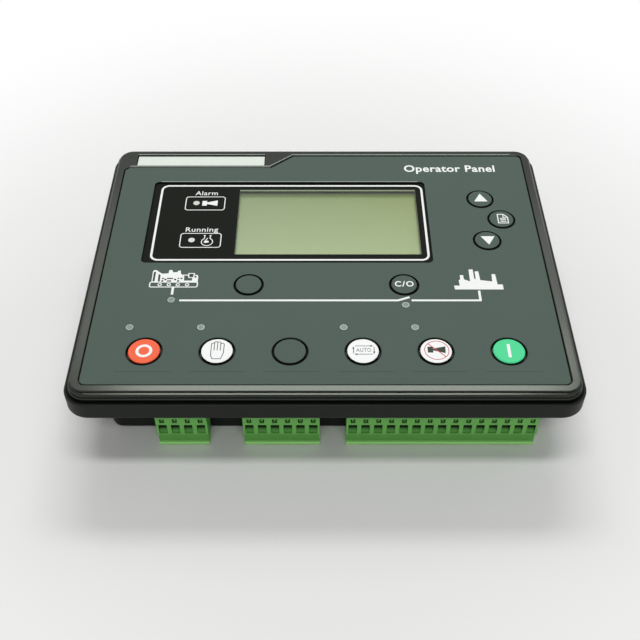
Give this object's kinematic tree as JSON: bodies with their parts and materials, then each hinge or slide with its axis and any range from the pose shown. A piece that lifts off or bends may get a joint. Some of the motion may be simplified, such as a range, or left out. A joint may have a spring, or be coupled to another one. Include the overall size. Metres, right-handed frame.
{
  "type": "generator set controller",
  "caption": "Panel-mount generator controller with a flanged case, recessed display, round keys, indicator lamps and pluggable screw terminals on both long edges.",
  "frame": {"origin": "centre of the rear face, on the plane that the controller lies on", "axes": "+X along the width to the right of the face, +Y to the top edge of the face, +Z out of the face"},
  "size_m": [0.197, 0.151, 0.044],
  "materials": {
    "case_black": "fine moulded texture, satin",
    "bezel_black": "satin moulded plastic with bright edges",
    "gasket_rubber": "soft closed-cell rubber",
    "face_green": "matt printed face, dark grey green",
    "plate_pale": "smooth pale plate, bare",
    "display_black": "smooth dark display area with a white outline",
    "clear_pane": "clear acrylic",
    "lcd_surround": "dark moulded frame",
    "lcd_green": "grey green reflective display glass",
    "backlight_white": "white diffuser",
    "lamp_grey": "cloudy grey light guide",
    "chip_yellow": "small lamp chip",
    "key_red": "smooth red cap with a white ring",
    "key_white": "smooth white cap with dark symbols",
    "key_green": "smooth green cap with a white bar",
    "key_dark": "matt dark cap",
    "mat_rubber": "silicone rubber",
    "carbon_black": "conductive rubber",
    "board_green": "glass fibre board with green lacquer",
    "link_black": "moulded connector",
    "screw_steel": "zinc-plated steel",
    "pin_tin": "tinned pins",
    "terminal_green": "moulded green terminal plastic",
    "contact_brass": "plated brass contact"
  },
  "bodies": {
    "case": {"rear_case": "case_black", "panel_gasket": "gasket_rubber", "front_bezel": "bezel_black", "face_panel": "face_green", "name_plate": "plate_pale", "display_mask": "display_black", "display_window": "clear_pane", "lcd_frame": "lcd_surround", "lcd_glass": "lcd_green", "lcd_backlight": "backlight_white", "indicator_lamps": "lamp_grey", "lamp_chips": "chip_yellow", "keypad_mat": "mat_rubber", "contact_pills": "carbon_black", "key_board": "board_green", "main_board": "board_green", "board_link": "link_black", "board_screws": "screw_steel", "case_screws": "screw_steel", "socket_pins": "pin_tin", "socket_supply": "terminal_green", "socket_output": "terminal_green", "socket_input": "terminal_green", "socket_sensor": "terminal_green", "socket_current": "terminal_green", "socket_voltage": "terminal_green"},
    "stop_key": {"key_stop": "key_red"},
    "manual_key": {"key_manual": "key_white"},
    "spare_key": {"key_spare": "key_dark"},
    "auto_key": {"key_auto": "key_white"},
    "mute_key": {"key_mute": "key_white"},
    "start_key": {"key_start": "key_green"},
    "open_key": {"key_open": "key_dark"},
    "close_key": {"key_close": "key_dark"},
    "up_key": {"key_up": "key_dark"},
    "page_key": {"key_page": "key_dark"},
    "down_key": {"key_down": "key_dark"},
    "supply_plug": {"plug_supply": "terminal_green", "screws_supply": "screw_steel", "contacts_supply": "contact_brass"},
    "output_plug": {"plug_output": "terminal_green", "screws_output": "screw_steel", "contacts_output": "contact_brass"},
    "input_plug": {"plug_input": "terminal_green", "screws_input": "screw_steel", "contacts_input": "contact_brass"},
    "sensor_plug": {"plug_sensor": "terminal_green", "screws_sensor": "screw_steel", "contacts_sensor": "contact_brass"},
    "current_plug": {"plug_current": "terminal_green", "screws_current": "screw_steel", "contacts_current": "contact_brass"},
    "voltage_plug": {"plug_voltage": "terminal_green", "screws_voltage": "screw_steel", "contacts_voltage": "contact_brass"}
  },
  "joints": [
    {"name": "stop_press", "type": "slide", "parent": "case", "child": "stop_key", "axis": [0, 0, -1], "range_m": [0, 0.0006], "stiffness_N_per_m": 1000, "springref_m": -0.001},
    {"name": "manual_press", "type": "slide", "parent": "case", "child": "manual_key", "axis": [0, 0, -1], "range_m": [0, 0.0006], "stiffness_N_per_m": 1000, "springref_m": -0.001},
    {"name": "spare_press", "type": "slide", "parent": "case", "child": "spare_key", "axis": [0, 0, -1], "range_m": [0, 0.0006], "stiffness_N_per_m": 1000, "springref_m": -0.001},
    {"name": "auto_press", "type": "slide", "parent": "case", "child": "auto_key", "axis": [0, 0, -1], "range_m": [0, 0.0006], "stiffness_N_per_m": 1000, "springref_m": -0.001},
    {"name": "mute_press", "type": "slide", "parent": "case", "child": "mute_key", "axis": [0, 0, -1], "range_m": [0, 0.0006], "stiffness_N_per_m": 1000, "springref_m": -0.001},
    {"name": "start_press", "type": "slide", "parent": "case", "child": "start_key", "axis": [0, 0, -1], "range_m": [0, 0.0006], "stiffness_N_per_m": 1000, "springref_m": -0.001},
    {"name": "open_press", "type": "slide", "parent": "case", "child": "open_key", "axis": [0, 0, -1], "range_m": [0, 0.0006], "stiffness_N_per_m": 1000, "springref_m": -0.001},
    {"name": "close_press", "type": "slide", "parent": "case", "child": "close_key", "axis": [0, 0, -1], "range_m": [0, 0.0006], "stiffness_N_per_m": 1000, "springref_m": -0.001},
    {"name": "up_press", "type": "slide", "parent": "case", "child": "up_key", "axis": [0, 0, -1], "range_m": [0, 0.0006], "stiffness_N_per_m": 1000, "springref_m": -0.001},
    {"name": "page_press", "type": "slide", "parent": "case", "child": "page_key", "axis": [0, 0, -1], "range_m": [0, 0.0006], "stiffness_N_per_m": 1000, "springref_m": -0.001},
    {"name": "down_press", "type": "slide", "parent": "case", "child": "down_key", "axis": [0, 0, -1], "range_m": [0, 0.0006], "stiffness_N_per_m": 1000, "springref_m": -0.001},
    {"name": "supply_unplug", "type": "slide", "parent": "case", "child": "supply_plug", "axis": [0, -1, 0], "range_m": [0, 0.014]},
    {"name": "output_unplug", "type": "slide", "parent": "case", "child": "output_plug", "axis": [0, -1, 0], "range_m": [0, 0.014]},
    {"name": "input_unplug", "type": "slide", "parent": "case", "child": "input_plug", "axis": [0, -1, 0], "range_m": [0, 0.014]},
    {"name": "sensor_unplug", "type": "slide", "parent": "case", "child": "sensor_plug", "axis": [0, 1, 0], "range_m": [0, 0.014]},
    {"name": "current_unplug", "type": "slide", "parent": "case", "child": "current_plug", "axis": [0, 1, 0], "range_m": [0, 0.014]},
    {"name": "voltage_unplug", "type": "slide", "parent": "case", "child": "voltage_plug", "axis": [0, 1, 0], "range_m": [0, 0.014]}
  ]
}
